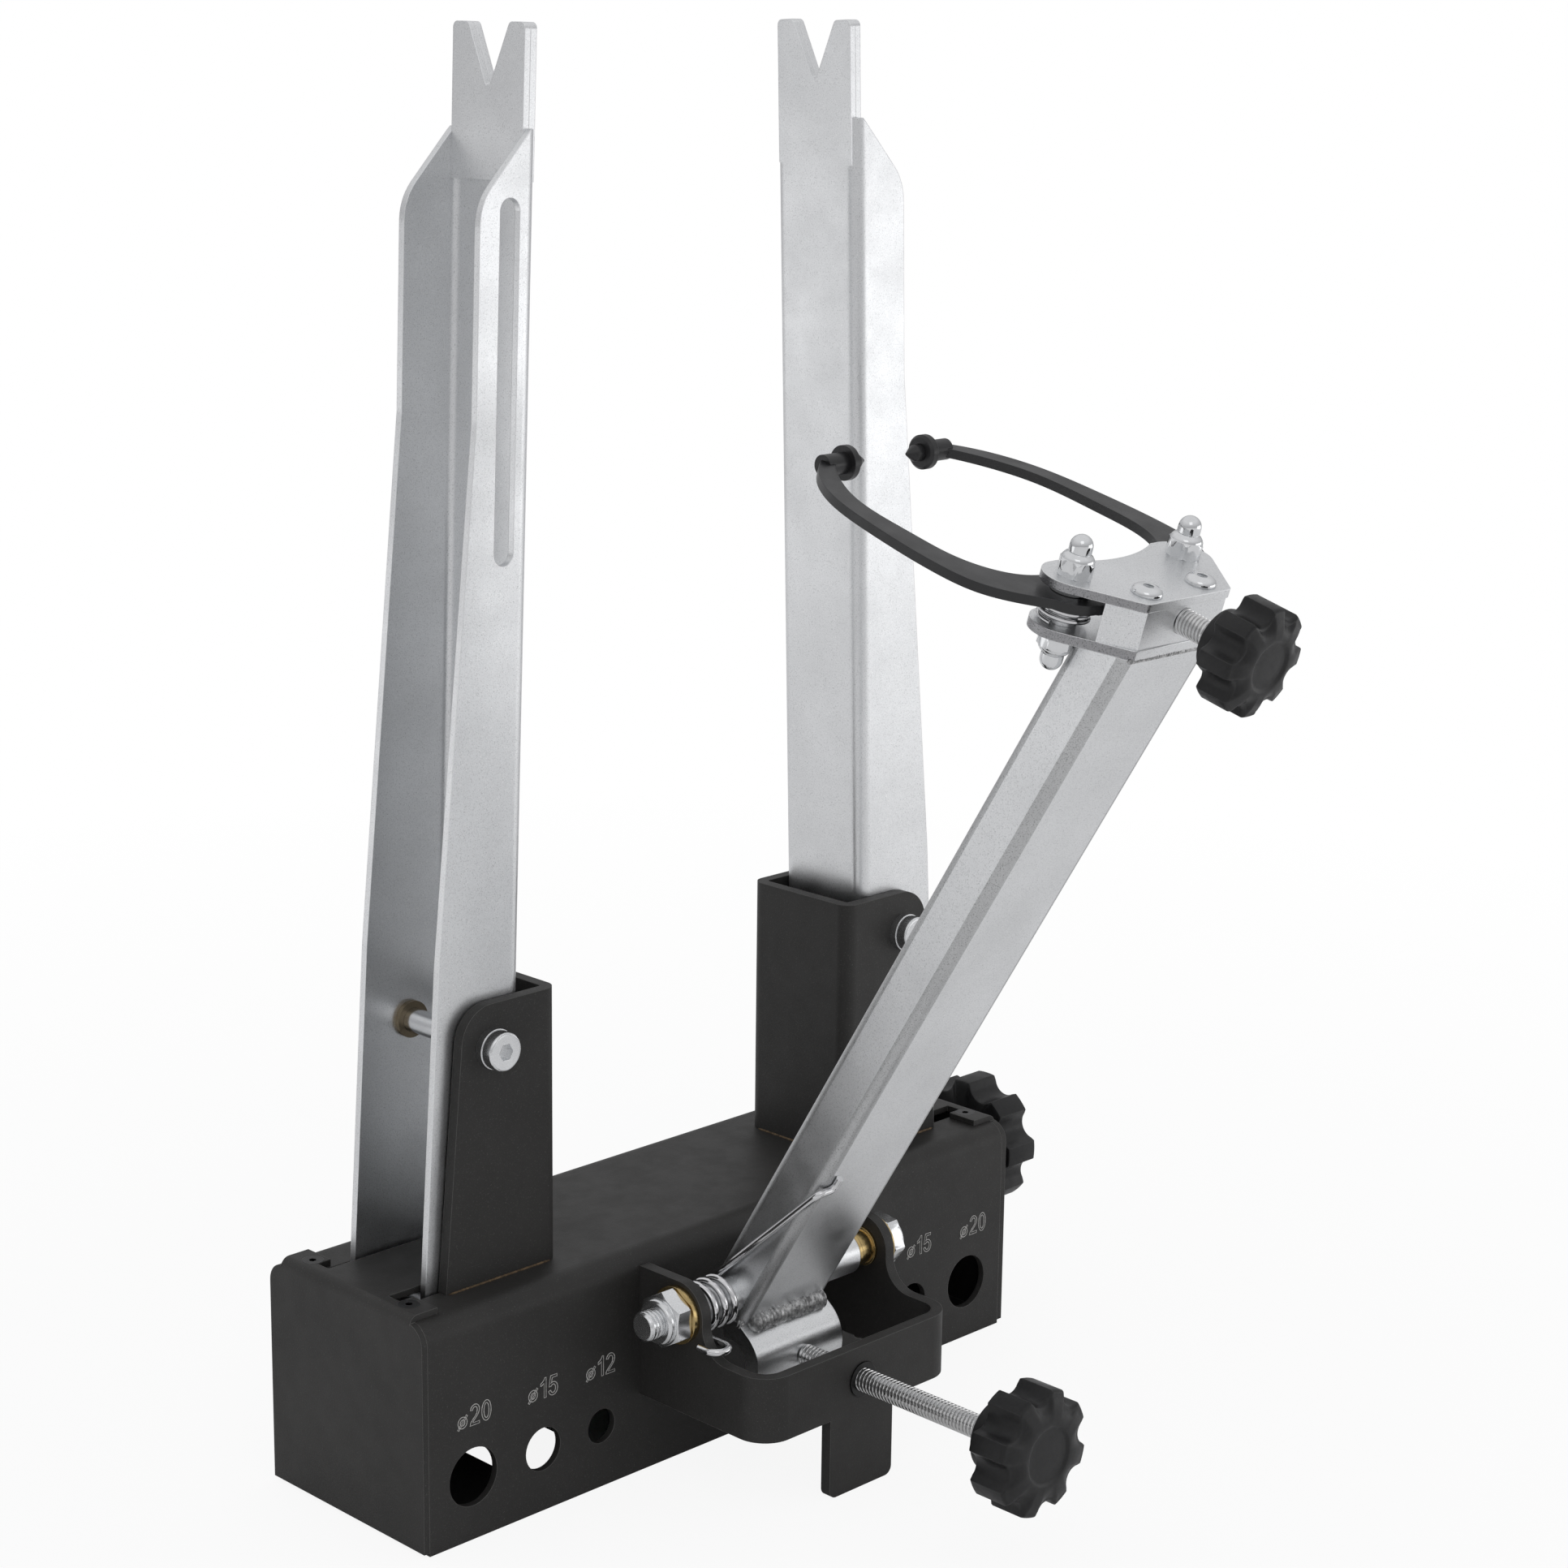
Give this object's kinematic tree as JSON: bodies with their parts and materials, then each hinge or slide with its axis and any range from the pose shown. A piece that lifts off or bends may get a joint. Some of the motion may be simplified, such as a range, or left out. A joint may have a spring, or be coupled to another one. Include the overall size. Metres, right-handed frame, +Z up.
{
  "type": "bicycle wheel truing stand",
  "caption": "Steel bench stand that holds a bicycle wheel by its axle between two screw-driven leaning uprights, with a sprung rim gauge arm and calliper in front.",
  "frame": {"origin": "middle of the base, on the plane it stands on", "axes": "+X along the base towards the spindle's knob, -Y towards the gauge arm, +Z up"},
  "size_m": [0.3174, 0.2935, 0.4786],
  "materials": {
    "base_coat": "fine texture powder coat",
    "zinc_steel": "zinc plate",
    "bright_fastener": "bright zinc",
    "screw_steel": "turned",
    "spring_steel": "drawn wire",
    "bearing_bronze": "sintered",
    "yellow_zinc": "satin",
    "calliper_black": "satin black",
    "knob_plastic": "matte"
  },
  "bodies": {
    "base": {"base_channel": "base_coat", "end_cap_left": "base_coat", "end_cap_right": "base_coat", "end_cap_screws": "bright_fastener", "end_cap_side_screws": "bright_fastener", "upright_bracket_left": "base_coat", "upright_bracket_right": "base_coat", "upright_pivot_bolts": "bright_fastener", "upright_pivot_collars": "bright_fastener", "upright_pivot_nuts": "bright_fastener", "spindle_bearing_left": "bearing_bronze", "spindle_bearing_right": "bearing_bronze", "gauge_bracket": "base_coat", "gauge_pivot_bolt": "bright_fastener", "gauge_pivot_nut": "bright_fastener", "gauge_pivot_washer": "yellow_zinc", "gauge_pivot_bush": "yellow_zinc", "torsion_spring": "spring_steel", "reach_screw_insert": "bright_fastener"},
    "spindle": {"spindle_screw": "screw_steel", "spindle_knob": "knob_plastic", "spindle_collars": "screw_steel"},
    "upright_left": {"upright_left": "zinc_steel", "dropout_plate_left": "zinc_steel", "upright_bushes_left": "bearing_bronze"},
    "upright_right": {"upright_right": "zinc_steel", "dropout_plate_right": "zinc_steel", "upright_bushes_right": "bearing_bronze"},
    "spindle_nut_left": {"spindle_nut_left": "screw_steel"},
    "spindle_nut_right": {"spindle_nut_right": "screw_steel"},
    "gauge_arm": {"gauge_arm_tube": "zinc_steel", "gauge_arm_barrel": "zinc_steel", "gauge_arm_gusset": "zinc_steel", "gauge_cam_plate": "zinc_steel", "head_upper_plate": "zinc_steel", "head_lower_plate": "zinc_steel", "head_block": "zinc_steel", "head_screws": "bright_fastener", "calliper_studs": "bright_fastener", "calliper_dome_nuts": "bright_fastener", "calliper_washers": "bright_fastener", "calliper_spacers": "zinc_steel", "calliper_spring_left": "spring_steel", "calliper_spring_right": "spring_steel"},
    "reach_screw": {"reach_screw": "screw_steel", "reach_lock_nut": "bright_fastener", "reach_knob": "knob_plastic"},
    "calliper_screw": {"calliper_screw": "screw_steel", "calliper_knob": "knob_plastic"},
    "calliper_arm_left": {"calliper_arm_left": "calliper_black", "calliper_tip_left": "calliper_black", "calliper_tip_collar_left": "calliper_black"},
    "calliper_arm_right": {"calliper_arm_right": "calliper_black", "calliper_tip_right": "calliper_black", "calliper_tip_collar_right": "calliper_black"}
  },
  "joints": [
    {"name": "spindle_turn", "type": "hinge", "parent": "base", "child": "spindle", "pos_m": [0, 0, 0.0558], "axis": [-1, 0, 0], "range_deg": [-640, 1280]},
    {"name": "upright_left_hinge", "type": "hinge", "parent": "base", "child": "upright_left", "pos_m": [-0.0972, 0, 0.158], "axis": [0, 1, 0], "range_deg": [-2, 4]},
    {"name": "upright_right_hinge", "type": "hinge", "parent": "base", "child": "upright_right", "pos_m": [0.0972, 0, 0.158], "axis": [0, -1, 0], "range_deg": [-2, 4]},
    {"name": "spindle_nut_left_travel", "type": "slide", "parent": "base", "child": "spindle_nut_left", "axis": [-1, 0, 0], "range_m": [-0.0036, 0.0072]},
    {"name": "spindle_nut_right_travel", "type": "slide", "parent": "base", "child": "spindle_nut_right", "axis": [1, 0, 0], "range_m": [-0.0036, 0.0072]},
    {"name": "gauge_arm_hinge", "type": "hinge", "parent": "base", "child": "gauge_arm", "pos_m": [0, -0.0585, 0.0627], "axis": [1, 0, 0], "range_deg": [-5, 40], "deforming": ["torsion_spring"]},
    {"name": "reach_screw_travel", "type": "slide", "parent": "base", "child": "reach_screw", "axis": [0, 1, 0], "range_m": [-0.002, 0.0154]},
    {"name": "calliper_screw_travel", "type": "slide", "parent": "gauge_arm", "child": "calliper_screw", "axis": [0, 0.9613, 0.2756], "range_m": [-0.002, 0.0022]},
    {"name": "calliper_arm_left_hinge", "type": "hinge", "parent": "gauge_arm", "child": "calliper_arm_left", "pos_m": [-0.025, -0.19578, 0.31969], "axis": [0, -0.2756, 0.9613], "range_deg": [-5.5, 6]},
    {"name": "calliper_arm_right_hinge", "type": "hinge", "parent": "gauge_arm", "child": "calliper_arm_right", "pos_m": [0.025, -0.19578, 0.31969], "axis": [0, 0.2756, -0.9613], "range_deg": [-5.5, 6]}
  ],
  "couplings": [
    {"joint": "upright_left_hinge", "follows": "spindle_turn", "ratio": 0.0031108},
    {"joint": "upright_right_hinge", "follows": "spindle_turn", "ratio": 0.0031108},
    {"joint": "spindle_nut_left_travel", "follows": "spindle_turn", "m_per_rad": 0.00031831},
    {"joint": "spindle_nut_right_travel", "follows": "spindle_turn", "m_per_rad": 0.00031831},
    {"joint": "reach_screw_travel", "follows": "gauge_arm_hinge", "m_per_rad": 0.02192},
    {"joint": "calliper_arm_left_hinge", "follows": "calliper_screw_travel", "rad_per_m": 45.87},
    {"joint": "calliper_arm_right_hinge", "follows": "calliper_screw_travel", "rad_per_m": 45.87}
  ]
}
